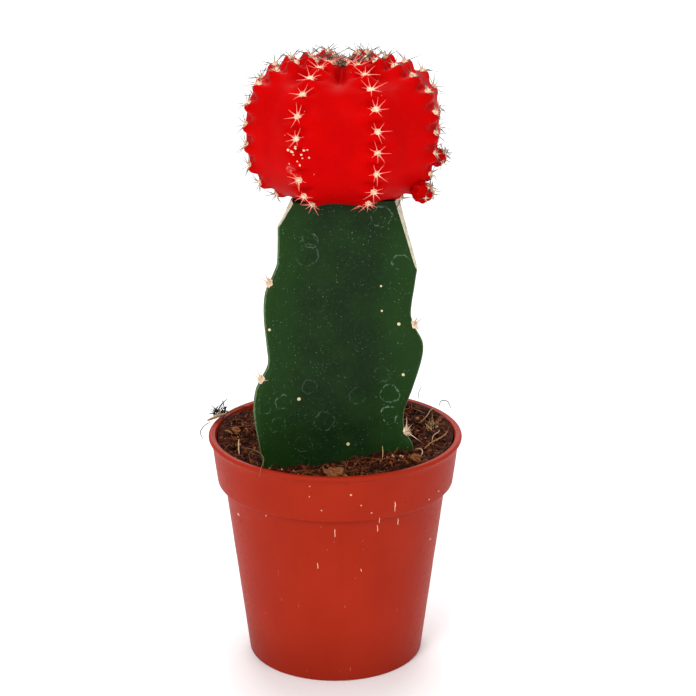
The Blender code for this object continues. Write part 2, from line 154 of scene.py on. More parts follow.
def curve_through(points, x):
    """The value at x of a smooth curve through (x, value) points."""
    last = len(points) - 1
    k = max(i for i in range(last) if i == 0 or points[i][0] <= x)

    def slope(i):
        before, after = points[max(i - 1, 0)], points[min(i + 1, last)]
        return (after[1] - before[1]) / (after[0] - before[0])

    (x0, y0), (x1, y1) = points[k], points[k + 1]
    span = x1 - x0
    t = min(max((x - x0) / span, 0.0), 1.0)
    return ((2 * t**3 - 3 * t**2 + 1) * y0 + (t**3 - 2 * t**2 + t) * span * slope(k)
            + (3 * t**2 - 2 * t**3) * y1 + (t**3 - t**2) * span * slope(k + 1))


def path_through(points, t):
    """A point at t (0 to 1) of a smooth line through the points."""
    keyed = [[(i, p[axis]) for i, p in enumerate(points)] for axis in range(3)]
    at = t * (len(points) - 1)
    return Vector([curve_through(key, at) for key in keyed])


def direction_frame(direction):
    """Two unit vectors square to the direction."""
    direction = Vector(direction).normalized()
    helper = Vector((0, 0, 1)) if abs(direction.z) < 0.9 else Vector((1, 0, 0))
    side = direction.cross(helper).normalized()
    return side, direction.cross(side)


def around(side, up, turn):
    """The direction at an angle in the plane of two unit vectors."""
    return side * math.cos(turn) + up * math.sin(turn)


def tube_faces(rows, columns):
    """Faces of a tube of points in rows, with its two ends closed."""
    faces = []
    for r in range(rows - 1):
        for c in range(columns):
            d = (c + 1) % columns
            faces.append((r * columns + c, r * columns + d, (r + 1) * columns + d, (r + 1) * columns + c))
    faces.append(tuple(reversed(range(columns))))
    faces.append(tuple((rows - 1) * columns + i for i in range(columns)))
    return faces


class Heap:
    """Collects many small closed shapes, and per-vertex values, into one mesh."""

    def __init__(self):
        self.points, self.faces, self.along, self.tint = [], [], [], []

    def add(self, points, faces, along, tint):
        start = len(self.points)
        self.points += [tuple(p) for p in points]
        self.faces += [tuple(start + i for i in face) for face in faces]
        self.along += list(along)
        self.tint += [tint] * len(points)

    def add_tube(self, centres, radii, sides, tint):
        """A round tube with closed ends through the centres."""
        centres = [Vector(c) for c in centres]
        side, up = direction_frame(centres[-1] - centres[0])
        points, along = [], []
        last = len(centres) - 1
        for row, (centre, radius) in enumerate(zip(centres, radii)):
            ahead = centres[min(row + 1, last)] - centres[max(row - 1, 0)]
            side = (side - ahead * (side.dot(ahead) / ahead.length_squared)).normalized()
            up = ahead.normalized().cross(side)
            for i in range(sides):
                points.append(centre + around(side, up, math.tau * i / sides) * radius)
                along.append(row / last)
        self.add(points, tube_faces(len(centres), sides), along, tint)

    def add_spine(self, root, direction, length, radius, bend, tint, sides=6, rows=6):
        """A tapered spine that curves by bend millimetres at its tip."""
        root, direction = Vector(root), Vector(direction).normalized()
        centres, radii = [], []
        for row in range(rows + 1):
            t = row / rows
            centres.append(root + direction * length * t + Vector(bend) * t * t)
            radii.append(radius * (1 - t) ** 0.75 + 0.012)
        self.add_tube(centres, radii, sides, tint)

    def add_blob(self, shape, centre, axes, tint, wobble=0.0):
        """A copy of an icosphere, stretched to three axis vectors and roughened."""
        points, faces = shape
        along, placed = [], []
        phase = Vector(rng.uniform(0, 50, 3))
        for p in points:
            reach = 1 + wobble * noise.noise(p * 1.7 + phase)
            placed.append(Vector(centre) + (axes[0] * p.x + axes[1] * p.y + axes[2] * p.z) * reach)
            along.append(0.5 + 0.5 * p.z)
        self.add(placed, faces, along, tint)


def ball(level):
    bm = bmesh.new()
    bmesh.ops.create_icosphere(bm, subdivisions=level, radius=1)
    bm.verts.ensure_lookup_table()
    shape = [v.co.copy() for v in bm.verts], [tuple(v.index for v in f.verts) for f in bm.faces]
    bm.free()
    return shape


BALLS = {level: ball(level) for level in (1, 2, 3, 4)}


def random_axes(size):
    """Three square axis vectors, turned at random, with the given lengths."""
    turn = Matrix.Rotation(rng.uniform(0, math.tau), 3, Vector(rng.normal(size=3)).normalized())
    units = ((1, 0, 0), (0, 1, 0), (0, 0, 1))
    return [turn @ (Vector(unit) * length) for unit, length in zip(units, size)]


def add_object(name, data):
    made = bpy.data.objects.new(name, data)
    bpy.context.scene.collection.objects.link(made)
    return made


def make_piece(name, points, faces, material, stands_for, values):
    """A mesh piece in metres that rides on the frame. values are per-vertex numbers for its material."""
    mesh = bpy.data.meshes.new(name)
    mesh.from_pydata([Vector(p) * MM for p in points], [], faces)
    for key, numbers in values.items():
        attribute = mesh.attributes.new(key, "FLOAT", "POINT")
        attribute.data.foreach_set("value", np.asarray(numbers, np.float32))
    mesh.polygons.foreach_set("use_smooth", [True] * len(mesh.polygons))
    mesh.materials.append(material)
    mesh.update()
    piece = add_object(name, mesh)
    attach(piece, "root")
    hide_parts(*stands_for)
    return piece


def heap_piece(name, heap, material, stands_for):
    values = {"along": heap.along, "tint": heap.tint}
    return make_piece(name, heap.points, heap.faces, material, stands_for, values)


# Materials

class Paint:
    """Builds a material's nodes. A value given to a socket is either a number or another socket."""

    def __init__(self, name, **shader_values):
        self.material = bpy.data.materials.new(name)
        self.material.use_nodes = True
        self.tree = self.material.node_tree
        self.shader = self.tree.nodes["Principled BSDF"]
        for key, value in shader_values.items():
            self.set(key.replace("_", " "), value)

    def plug(self, socket, value):
        if isinstance(value, bpy.types.NodeSocket):
            self.tree.links.new(value, socket)
        else:
            socket.default_value = value

    def set(self, key, value):
        self.plug(self.shader.inputs[key], value)

    def node(self, kind, inputs, **settings):
        made = self.tree.nodes.new("ShaderNode" + kind)
        for key, value in settings.items():
            setattr(made, key, value)
        for key, value in inputs.items():
            self.plug(made.inputs[key], value)
        return made

    def math(self, operation, a, b=0.0):
        return self.node("Math", {0: a, 1: b}, operation=operation).outputs[0]

    def times(self, a, b):
        return self.math("MULTIPLY", a, b)

    def apart(self, a, b):
        """How far two values differ."""
        return self.math("ABSOLUTE", self.math("SUBTRACT", a, b))

    def axes(self):
        """The point's x, y and height in millimetres."""
        return self.node("SeparateXYZ", {0: self.place()}).outputs

    def place(self, scale=(1, 1, 1)):
        """Object coordinates in millimetres, stretched by scale."""
        source = self.node("TexCoord", {}).outputs["Object"]
        factor = [s / MM for s in scale]
        return self.node("VectorMath", {0: source, 1: factor}, operation="MULTIPLY").outputs[0]

    def value(self, name):
        return self.node("Attribute", {}, attribute_name=name).outputs["Fac"]

    def noise(self, size, detail=3.0, roughness=0.55, scale=(1, 1, 1), distortion=0.0):
        """Noise from 0 to 1 whose lumps are about size millimetres."""
        inputs = {"Vector": self.place(scale), "Scale": 1 / size, "Detail": detail, "Roughness": roughness,
                  "Distortion": distortion}
        return self.node("TexNoise", inputs).outputs[0]

    def cells(self, size):
        return self.node("TexVoronoi", {"Vector": self.place(), "Scale": 1 / size})

    def chosen(self, cells, share):
        """1 in that share of the cells, taken at random, and 0 in the others."""
        shade = self.node("SeparateColor", {0: cells.outputs["Color"]}).outputs[0]
        return self.step(shade, 1 - share, 1 - share + 0.01)

    def step(self, value, low, high):
        """0 where value is under low, 1 above high and smooth between. low may be the larger one."""
        inputs = {"Value": value, "From Min": low, "From Max": high}
        return self.node("MapRange", inputs, interpolation_type="SMOOTHSTEP").outputs[0]

    def mix(self, factor, a, b):
        made = self.tree.nodes.new("ShaderNodeMix")
        made.data_type = "RGBA"
        self.plug(made.inputs[0], factor)
        for socket, value in ((made.inputs[6], a), (made.inputs[7], b)):
            self.plug(socket, (*value, 1.0) if isinstance(value, tuple) and len(value) == 3 else value)
        return made.outputs[2]

    def range(self, value, low, high):
        """Spreads a 0 to 1 value over low to high."""
        return self.math("ADD", self.times(value, high - low), low)

    def largest(self, values):
        result = values[0]
        for value in values[1:]:
            result = self.math("MAXIMUM", result, value)
        return result

    def bump(self, *layers):
        """Chains (height, millimetres) layers into the shader's normal."""
        normal = None
        for height, depth in layers:
            inputs = {"Height": height, "Strength": 1.0, "Distance": depth * MM}
            if normal:
                inputs["Normal"] = normal
            normal = self.node("Bump", inputs).outputs[0]
        self.set("Normal", normal)

    def finish(self, colour, roughness, *layers):
        self.set("Base Color", colour)
        self.set("Roughness", roughness)
        if layers:
            self.bump(*layers)
        return self.material

    def specks(self, size, share, radius, edge=0.06):
        """Sparse round specks: share of the cells hold one, radius is a share of a cell."""
        cells = self.cells(size)
        inside = self.step(cells.outputs["Distance"], radius, radius - edge)
        return self.times(self.chosen(cells, share), inside)

    def distance_to(self, flat, x, z):
        """How far a point flattened to the front, (x, 0, height), is from one place."""
        return self.node("VectorMath", {0: flat, 1: (x, 0, z)}, operation="DISTANCE").outputs["Value"]

    def flecks(self, x, z, places):
        """Single spots seen from the front, each an (x, height, radius)."""
        flat = self.node("CombineXYZ", {0: x, 1: 0.0, 2: z}).outputs[0]
        return self.largest([self.step(self.distance_to(flat, *spot), radius, radius * 0.7)
                             for *spot, radius in places])


def paint_pot():
    paint = Paint("terracotta_plastic", Specular_IOR_Level=0.06)
    low = paint.noise(14, 2)
    fine = paint.noise(0.9, 4)
    streaks = paint.noise(1.6, 3, scale=(1, 1, 0.08))
    colour = paint.mix(paint.step(low, 0.3, 0.7), (0.3, 0.0155, 0.004), (0.33, 0.0185, 0.005))
    colour = paint.mix(paint.range(streaks, 0.0, 0.07), colour, (0.48, 0.05, 0.018))
    hair_lines = paint.noise(0.35, 2, scale=(1, 1, 0.05))
    patch = paint.noise(6, 2)
    scuffs = paint.times(paint.step(hair_lines, 0.7, 0.78), paint.step(patch, 0.55, 0.66))
    x, y, z = paint.axes()
    # painted shade: the colour darkens towards the foot, from 16 mm down to the floor
    colour = paint.mix(paint.times(paint.step(z, 16, 0), 0.3), colour, (0.17, 0.008, 0.003))
    front = paint.step(y, -8, -10)
    marks = paint.times(pot_scratches(paint, x, z), front)
    flecks = paint.times(paint.flecks(x, z, PALE_FLECKS), front)
    dust = paint.specks(1.5, 0.12, 0.08)
    pale = paint.largest([paint.times(scuffs, 0.35), marks, paint.times(flecks, 0.6),
                          paint.times(dust, 0.5)])
    colour = paint.mix(pale, colour, (0.85, 0.5, 0.36))
    soot = paint.times(paint.specks(2.6, 0.1, 0.06, 0.03), 0.7)
    dirt = paint.times(paint.flecks(x, z, DARK_FLECKS), front)
    colour = paint.mix(paint.largest([soot, dirt]), colour, (0.08, 0.02, 0.012))
    return paint.finish(colour, paint.range(paint.largest([paint.step(fine, 0.4, 0.8), pale]), 0.42, 0.58),
                        (paint.noise(2.2, 3), 0.03), (fine, 0.01), (pale, -0.03))


def pot_scratches(paint, x, z):
    wave = paint.range(paint.noise(1.1, 2), -0.25, 0.25)
    found = []
    for at_x, at_z, half in SCRATCHES:
        across = paint.apart(paint.math("ADD", x, wave), at_x)
        upward = paint.apart(z, at_z)
        found.append(paint.times(paint.step(across, 0.1, 0.04), paint.step(upward, half, half * 0.6)))
    return paint.largest(found)


def paint_soil():
    paint = Paint("peat", Specular_IOR_Level=0.08)
    grain = paint.noise(0.45, 5, 0.65)
    patch = paint.noise(2.6, 3)
    tint = paint.value("tint")
    colour = paint.mix(paint.step(grain, 0.38, 0.68), (0.01, 0.0025, 0.0015), (0.1, 0.024, 0.009))
    colour = paint.mix(paint.times(paint.step(patch, 0.45, 0.65), 0.7), colour, (0.01, 0.003, 0.002))
    colour = paint.mix(paint.step(tint, 0.4, 0.75), colour, (0.24, 0.06, 0.02))
    colour = paint.mix(paint.step(tint, 0.78, 0.9), colour, (0.42, 0.15, 0.05))
    colour = paint.mix(paint.step(tint, 0.91, 0.96), colour, (0.66, 0.36, 0.25))
    return paint.finish(colour, paint.range(grain, 0.8, 1.0), (grain, 0.3), (paint.noise(0.18, 3), 0.1))


def paint_fibre(name, pale, dark):
    """Dry plant fibre: its two colours run along and between the pieces."""
    paint = Paint(name, Specular_IOR_Level=0.15)
    grain = paint.noise(0.5, 3)
    blend = paint.math("ADD", paint.times(paint.value("tint"), 0.75), paint.times(grain, 0.4))
    return paint.finish(paint.mix(paint.step(blend, 0.15, 0.95), dark, pale),
                        paint.range(grain, 0.65, 0.95),
                        (paint.noise(0.12, 2), 0.03))


def paint_bark():
    paint = Paint("bark", Specular_IOR_Level=0.1)
    layers = paint.noise(0.55, 4, scale=(1, 1, 3.2), distortion=0.6)
    grain = paint.noise(0.25, 3)
    tint = paint.value("tint")
    colour = paint.mix(paint.step(layers, 0.3, 0.72), (0.06, 0.02, 0.008), (0.3, 0.1, 0.03))
    colour = paint.mix(paint.times(tint, 0.5), colour, (0.42, 0.17, 0.06))
    return paint.finish(colour, paint.range(grain, 0.7, 0.95), (layers, 0.25), (grain, 0.08))


def paint_stem():
    paint = Paint("stem_skin", Specular_IOR_Level=0.1)
    edge = paint.value("edge")
    x, y, z = paint.axes()
    front = paint.step(y, 0, -2)
    patch = paint.noise(5.0, 3)
    mottle = paint.noise(0.8, 4, 0.6)
    colour = paint.mix(paint.step(patch, 0.3, 0.72), (0.0045, 0.0165, 0.0032), (0.007, 0.0255, 0.0042))
    colour = paint.mix(paint.times(paint.step(mottle, 0.42, 0.72), 0.4), colour, (0.011, 0.036, 0.0055))
    flank = paint.times(paint.step(edge, 0.35, 0.95), 0.55)
    colour = paint.mix(flank, colour, (0.012, 0.046, 0.005))
    dust = paint.largest([paint.specks(0.75, 0.3, 0.15), paint.times(paint.specks(0.42, 0.35, 0.2), 0.6)])
    dust = paint.times(dust, paint.step(paint.noise(4.5, 2), 0.32, 0.6))
    stains = paint.math("MAXIMUM", paint.times(front_rings(paint, x, z), front),
                        paint.times(far_rings(paint), paint.step(y, -3, 0)))
    stains = paint.times(stains, paint.step(paint.noise(1.3, 3), 0.42, 0.6))
    colour = paint.mix(paint.largest([paint.times(dust, 0.55), paint.times(stains, 0.6)]),
                       colour, (0.27, 0.4, 0.3))
    colour = paint.mix(paint.times(paint.flecks(x, z, STEM_DOTS), front), colour, (0.66, 0.56, 0.33))
    ragged = paint.math("ADD", edge, paint.range(paint.noise(0.5, 3), -0.008, 0.008))
    cork = paint.step(ragged, 0.992, 0.999)
    colour = paint.mix(paint.times(cork, 0.5), colour, (0.2, 0.3, 0.13))
    rough = paint.largest([paint.range(mottle, 0.4, 0.58), paint.times(cork, 0.8), paint.times(stains, 0.7)])
    return paint.finish(colour, rough, (paint.noise(6, 2), 0.2), (mottle, 0.04), (cork, 0.04))


def front_rings(paint, x, z):
    """Thin uneven rings that dried water drops have left on the front face."""
    flat = paint.node("CombineXYZ", {0: x, 1: 0.0, 2: z}).outputs[0]
    ripple = paint.range(paint.noise(1.6, 3), -0.9, 0.9)
    found = []
    for at_x, at_z, radius, strength in STEM_RINGS:
        gap = paint.distance_to(flat, at_x, at_z)
        off = paint.apart(paint.math("ADD", gap, ripple), radius)
        found.append(paint.times(paint.step(off, 0.17, 0.04), strength))
    return paint.largest(found)


def far_rings(paint):
    """The same, scattered over the other faces."""
    cells = paint.cells(6.5)
    chosen = paint.step(paint.node("SeparateColor", {0: cells.outputs["Color"]}).outputs[0], 0.6, 0.62)
    wave = paint.range(paint.noise(1.4, 3), 0.2, 0.34)
    off = paint.apart(cells.outputs["Distance"], wave)
    return paint.times(paint.times(paint.step(off, 0.025, 0.008), chosen), 0.7)


def paint_cut():
    """Dried pale tissue where the ribs were sliced."""
    paint = Paint("cut_tissue", Specular_IOR_Level=0.3)
    streaks = paint.noise(0.5, 4, scale=(1, 1, 0.25))
    colour = paint.mix(paint.step(streaks, 0.35, 0.68), (0.5, 0.44, 0.28), (0.9, 0.87, 0.72))
    colour = paint.mix(paint.times(paint.step(paint.noise(1.3, 3), 0.5, 0.75), 0.4), colour,
                       (0.24, 0.22, 0.14))
    return paint.finish(colour, paint.range(streaks, 0.6, 0.9), (streaks, 0.12))


def paint_scion():
    paint = Paint("scion_skin", Specular_IOR_Level=0.015, Subsurface_Weight=0.1, Subsurface_Scale=0.0015)
    paint.set("Subsurface Radius", (1.0, 0.12, 0.08))
    hollow = paint.value("hollow")
    patch = paint.noise(6.0, 3)
    mottle = paint.noise(0.7, 4, 0.6)
    colour = paint.mix(paint.step(patch, 0.3, 0.72), (0.46, 0.0003, 0.0005), (0.53, 0.0004, 0.0005))
    colour = paint.mix(paint.times(paint.step(mottle, 0.45, 0.75), 0.25), colour, (0.62, 0.0012, 0.0008))
    # painted shade: darker red in the grooves and in the notches under the tubercles, by the hollow value
    colour = paint.mix(paint.times(hollow, 0.7), colour, (0.36, 0.0003, 0.0008))
    bruise = paint.times(paint.step(paint.noise(3.0, 3), 0.66, 0.76), 0.25)
    colour = paint.mix(bruise, colour, (0.45, 0.0015, 0.004))
    x, y, z = paint.axes()
    # painted shade: the globe's underside darkens from 113 mm down to 105 mm
    colour = paint.mix(paint.times(paint.step(z, 113, 105), 0.4), colour, (0.26, 0.0002, 0.0005))
    scrape = paint.times(paint.flecks(x, z, SCRAPES), paint.step(paint.noise(0.6, 3), 0.4, 0.6))
    scrape = paint.times(scrape, paint.step(y, -6, -8))
    colour = paint.mix(paint.times(scrape, 0.4), colour, (0.75, 0.2, 0.17))
    pale = paint.times(paint.specks(1.9, 0.22, 0.07, 0.04), 0.6)
    colour = paint.mix(pale, colour, (0.9, 0.42, 0.3))
    return paint.finish(colour, paint.range(mottle, 0.42, 0.58),
                        (paint.noise(2.4, 3), 0.08), (mottle, 0.02), (pale, 0.03))


def paint_felt():
    paint = Paint("areole_felt", Specular_IOR_Level=0.2, Sheen_Weight=0.3)
    tuft = paint.noise(0.35, 3)
    colour = paint.mix(paint.step(tuft, 0.3, 0.7), (0.72, 0.46, 0.26), (0.97, 0.84, 0.64))
    colour = paint.mix(paint.times(paint.value("tint"), 0.35), colour, (0.6, 0.27, 0.16))
    return paint.finish(colour, paint.range(tuft, 0.8, 1.0), (tuft, 0.1))


def uneven_along(paint):
    return paint.math("ADD", paint.value("along"), paint.range(paint.noise(0.6, 2), -0.15, 0.15))


def finish_horn(paint, colour):
    return paint.finish(colour, paint.range(paint.noise(0.4, 2), 0.4, 0.65), (paint.noise(0.2, 2), 0.015))


def paint_spine(name, root, middle, tip):
    """Horn-like spines, darker to the tip."""
    paint = Paint(name, Specular_IOR_Level=0.4)
    along = paint.math("ADD", uneven_along(paint), paint.range(paint.value("tint"), -0.25, 0.25))
    colour = paint.mix(paint.step(along, 0.1, 0.5), root, middle)
    colour = paint.mix(paint.step(along, 0.5, 0.95), colour, tip)
    return finish_horn(paint, colour)


def paint_bristle():
    """The globe's spines: salmon red on the front ribs, dark grey where tint is high."""
    paint = Paint("scion_spine", Specular_IOR_Level=0.15)
    along = uneven_along(paint)
    fresh = paint.mix(paint.step(along, 0.1, 0.5), (0.95, 0.55, 0.4), (0.95, 0.2, 0.15))
    dark_grey = paint.mix(paint.step(along, 0.1, 0.45), (0.62, 0.42, 0.26), (0.035, 0.04, 0.04))
    return finish_horn(paint, paint.mix(paint.step(paint.value("tint"), 0.35, 0.65), fresh, dark_grey))


def paint_floor():
    paint = Paint("studio_floor", Specular_IOR_Level=0.2)
    mottle = paint.noise(60, 2)
    colour = paint.mix(mottle, (0.93, 0.93, 0.93), (0.95, 0.95, 0.95))
    return paint.finish(colour, paint.range(mottle, 0.65, 0.75))


# Pot

def pot_wall_r(z):
    heights = (0, BODY_TOP_Z, BAND_FOOT_Z, POT_HEIGHT)
    radii = (POT_FOOT_R, BODY_TOP_R, BAND_FOOT_R, BAND_TOP_R)
    return float(np.interp(z, heights, radii))


def pot_inner_r(z):
    """Inner radius. The shoulder inside is a wall's thickness higher than the one outside."""
    return pot_wall_r(z - POT_WALL) - POT_WALL


def arc(centre_r, centre_z, radius, start, end, count):
    """Points of a round corner. Angles are in degrees from straight out, upwards positive."""
    turns = [math.radians(start + (end - start) * i / (count - 1)) for i in range(count)]
    return [(centre_r + radius * math.cos(a), centre_z + radius * math.sin(a)) for a in turns]


def pot_profile():
    """The pot's section from the middle of its inside floor, over the lip and down to its underside."""
    floor_z = FOOT_LIFT + FLOOR_THICKNESS
    lip_z = POT_HEIGHT - LIP_R
    points = [(0.4, floor_z)] + [(r, floor_z) for r in (4, 8, 12, 15)]
    points += arc(pot_inner_r(floor_z) - 1.2, floor_z + 1.2, 1.2, -90, -5, 6)
    points += [(pot_inner_r(z), z) for z in np.linspace(5, BODY_TOP_Z + POT_WALL - 0.3, 12)]
    points += [(pot_inner_r(z), z) for z in np.linspace(BAND_FOOT_Z + POT_WALL + 0.2, POT_HEIGHT - 1.4, 8)]
    points += [(POT_TOP_R - 1.6, lip_z), (POT_TOP_R - 1.35, lip_z + 0.4)]
    points += arc(POT_TOP_R - LIP_R, lip_z, LIP_R, 115, -50, 16)
    points += [(pot_wall_r(lip_z) + 0.12, lip_z - 0.72), (pot_wall_r(lip_z) - 0.03, lip_z - 0.95)]
    points += [(pot_wall_r(z), z) for z in np.linspace(POT_HEIGHT - 2.2, BAND_FOOT_Z + 0.8, 10)]
    points += arc(BAND_FOOT_R - 0.42, BAND_FOOT_Z + 0.4, 0.45, 8, -75, 6)
    points += [(BODY_TOP_R + 0.5, BAND_FOOT_Z - 0.1), (BODY_TOP_R + 0.12, BODY_TOP_Z - 0.1)]
    points += [(pot_wall_r(z), z) for z in np.linspace(BODY_TOP_Z - 0.6, 1.2, 14)]
    points += arc(POT_FOOT_R - 0.33, 0.35, 0.35, 5, -90, 6)
    points += [(FOOT_RING_R + 0.3, 0.0), (FOOT_RING_R, 0.25), (FOOT_RING_R - 0.2, FOOT_LIFT - 0.2),
               (FOOT_RING_R - 0.5, FOOT_LIFT)]
    points += [(r, FOOT_LIFT) for r in (12, 8, 4, 0.4)]
    return points


def build_pot(material):
    profile = pot_profile()
    points = []
    for radius, height in profile:
        for i in range(POT_STEPS):
            turn = math.tau * i / POT_STEPS
            # thin moulded plastic is never quite round
            sway = 0.12 * smooth_step(height, 5, POT_HEIGHT) * math.cos(2 * turn + 0.7)
            wave = 0.04 * lump(math.cos(turn) * 9, math.sin(turn) * 9, height / 2, 3.0)
            reach = radius + (sway + wave) * min(1, radius / 15)
            points.append((reach * math.cos(turn), reach * math.sin(turn), height))
    faces = tube_faces(len(profile), POT_STEPS)
    pot = make_piece("pot_shell", points, faces, material, ["pot"], {})
    flip_outwards(pot)
    cutter = drain_cutter()
    modifier = pot.modifiers.new("drain_holes", "BOOLEAN")
    modifier.operation = "DIFFERENCE"
    modifier.object = cutter
    apply_modifiers(pot)
    bpy.data.objects.remove(cutter)
    pot.data.shade_smooth()
    pot.data.set_sharp_from_angle(angle=math.radians(40))


def flip_outwards(piece):
    bm = bmesh.new()
    bm.from_mesh(piece.data)
    bmesh.ops.recalc_face_normals(bm, faces=bm.faces)
    bm.to_mesh(piece.data)
    bm.free()


def apply_modifiers(piece):
    graph = bpy.context.evaluated_depsgraph_get()
    baked = bpy.data.meshes.new_from_object(piece.evaluated_get(graph))
    piece.modifiers.clear()
    piece.data = baked


def drain_cutter():
    bm = bmesh.new()
    places = [Vector((0, 0, 0))]
    for i in range(DRAIN_HOLES):
        turn = math.tau * (i + 0.5) / DRAIN_HOLES
        places.append(Vector((math.cos(turn), math.sin(turn), 0)) * DRAIN_CIRCLE_R)
    width = DRAIN_HOLE_R * MM
    for place in places:
        bmesh.ops.create_cone(bm, cap_ends=True, segments=40, radius1=width, radius2=width,
                              depth=12 * MM, matrix=Matrix.Translation(place * MM))
    mesh = bpy.data.meshes.new("drain_cutter")
    bm.to_mesh(mesh)
    bm.free()
    return add_object("drain_cutter", mesh)


# Soil

def soil_level(x, y):
    """The soil's broad shape, the same as in the CAD."""
    level = SOIL_Z + SOIL_RISE * (x + 0.5 * y)
    for centre_x, centre_y, height, reach in SOIL_MOUNDS:
        level += height * math.exp(-((x - centre_x) ** 2 + (y - centre_y) ** 2) / reach**2)
    return level


def soil_height(x, y):
    return soil_level(x, y) + lump(x, y, 1.08, 3.6) * SOIL_ROUGHNESS


def soil_rim_r(turn):
    """How far the soil reaches in one direction: up to the wall at its own height."""
    level = soil_level(BAND_FOOT_R * math.cos(turn), BAND_FOOT_R * math.sin(turn))
    return pot_inner_r(level) - SOIL_CLEARANCE


def build_soil(material):
    """The soil's surface, closed below by a skirt down inside the pot."""
    turns = [math.tau * i / SOIL_STEPS for i in range(SOIL_STEPS)]
    rims = [soil_rim_r(turn) for turn in turns]
    shares = np.linspace(0.02, 1, 96) ** 0.72
    points, tint = [], []
    for share in shares:
        for turn, rim in zip(turns, rims):
            x, y = rim * share * math.cos(turn), rim * share * math.sin(turn)
            crumbs = 0.42 * lump(x, y, 7, 1.1) + 0.26 * lump(x, y, 3, 0.5) + 0.3 * lump(x, y, 5, 2.2)
            banked = 0.5 * smooth_step(share, 0.82, 1.0)  # loose crumbs lie against the wall
            points.append((x, y, soil_height(x, y) + banked + crumbs * smooth_step(share, 1.0, 0.96)))
            tint.append(0.35 + 0.45 * lump(x, y, 11, 0.9))
    floor_z = FOOT_LIFT + FLOOR_THICKNESS
    depths = (41.0, 40.0, 25.0, 12.0, floor_z + 1.5, floor_z + 0.3)
    for depth in depths:
        reach = pot_inner_r(depth) - 0.35 - (1.3 if depth == depths[-1] else 0)
        for turn in turns:
            points.append((reach * math.cos(turn), reach * math.sin(turn), depth))
            tint.append(0.3)
    faces = tube_faces(len(shares) + len(depths), SOIL_STEPS)
    soil = make_piece("soil_surface", points, faces, material, ["potting_soil"], {"tint": tint})
    flip_outwards(soil)


def in_stem(x, y, margin):
    """Whether a point at soil level is inside the stem."""
    centre = stem_centre(SOIL_Z)
    flat = Vector((x - centre.x, y - centre.y))
    for _, turn in RIBS.values():
        normal = Vector((math.cos(turn + math.pi / 3), math.sin(turn + math.pi / 3)))
        if flat.dot(normal) > FACE_DEPTH + 1.0 + margin:
            return False
    return True


def soil_spot(margin, inset):
    """A random point of the soil outside the stem."""
    rim = pot_inner_r(SOIL_Z) - inset
    while True:
        x, y = rng.uniform(-rim, rim, 2)
        if math.hypot(x, y) < rim and not in_stem(x, y, margin):
            return x, y


def build_crumbs(material):
    """Loose grains of peat on the soil, most of them small."""
    sizes = {"peat_lumps": (640, 0.3, 0.75, 2), "peat_grains": (2700, 0.14, 0.42, 1)}
    for name, (count, smallest, largest, level) in sizes.items():
        heap = Heap()
        for _ in range(count):
            size = smallest + (largest - smallest) * rng.random() ** 2.4
            x, y = soil_spot(size * 0.6, size + 0.15)
            axes = random_axes((size, size * rng.uniform(0.5, 0.9), size * rng.uniform(0.35, 0.75)))
            lift = size * rng.uniform(0.0, 0.6)
            tint = rng.random() ** (1.9 if level == 2 else 1.1)
            heap.add_blob(BALLS[level], (x, y, soil_height(x, y) + lift), axes, tint, wobble=0.75)
        heap_piece(name, heap, material, ["potting_soil"])


def build_coir(material):
    """Short wiry fibres, lying on the soil and curling a little above it."""
    heap = Heap()
    for _ in range(440):
        x, y = soil_spot(0.6, 1.2)
        heading = rng.uniform(0, math.tau)
        length = rng.uniform(1.6, 7.5)
        turn_rate = rng.normal(0, 0.22)
        rise = rng.uniform(0.1, 1.0)
        steps = 7
        centres = []
        for k in range(steps + 1):
            t = k / steps
            if not fibre_fits(x, y):
                break
            lift = 0.35 + rise * math.sin(math.pi * t) + 0.12 * rng.normal()
            centres.append((x, y, soil_height(x, y) + lift))
            heading += turn_rate + rng.normal(0, 0.12)
            x += math.cos(heading) * length / steps
            y += math.sin(heading) * length / steps
        if len(centres) > 3:
            thick = rng.uniform(0.04, 0.11)
            count = len(centres)
            radii = [thick * (1 - 0.5 * abs(2 * k / count - 1)) for k in range(count)]
            heap.add_tube(centres, radii, 5, rng.random())
    heap_piece("coir_fibres", heap, material, ["potting_soil"])


def fibre_fits(x, y):
    return math.hypot(x, y) < pot_inner_r(SOIL_Z) - 0.4 and not in_stem(x, y, 0.3)


# Stem

def stem_centre(z):
    return Vector((-0.9 + 0.03 * (z - POT_HEIGHT), 0.0, z))


def rib_half_section(reach):
    """Half a rib's outline, from its edge to the middle of the face: (point, how near the edge it is)."""
    edge = RIB_EDGE_R
    corner = [(reach - edge + edge * math.cos(a), edge * math.sin(a)) for a in np.linspace(0, RIB_CORNER, 7)]
    start = Vector(corner[-1])
    face = Vector((math.cos(math.pi / 3), math.sin(math.pi / 3))) * FACE_DEPTH
    along_face = Vector((-math.sin(math.pi / 3), math.cos(math.pi / 3)))
    away = Vector((-math.sin(RIB_CORNER), math.cos(RIB_CORNER)))
    span = (face - start).length
    handle_a = start + away * span * 0.3 + Vector((-1, 0)) * span * 0.12
    handle_b = face - along_face * span * 0.42
    points = [(Vector(p), 1.0 - 0.035 * i / 6) for i, p in enumerate(corner)]
    for t in np.linspace(0, 1, FACE_STEPS)[1:]:
        s = 1 - t
        p = start * s**3 + handle_a * 3 * s * s * t + handle_b * 3 * s * t * t + face * t**3
        points.append((p, 0.965 * (1 - t)))
    return points


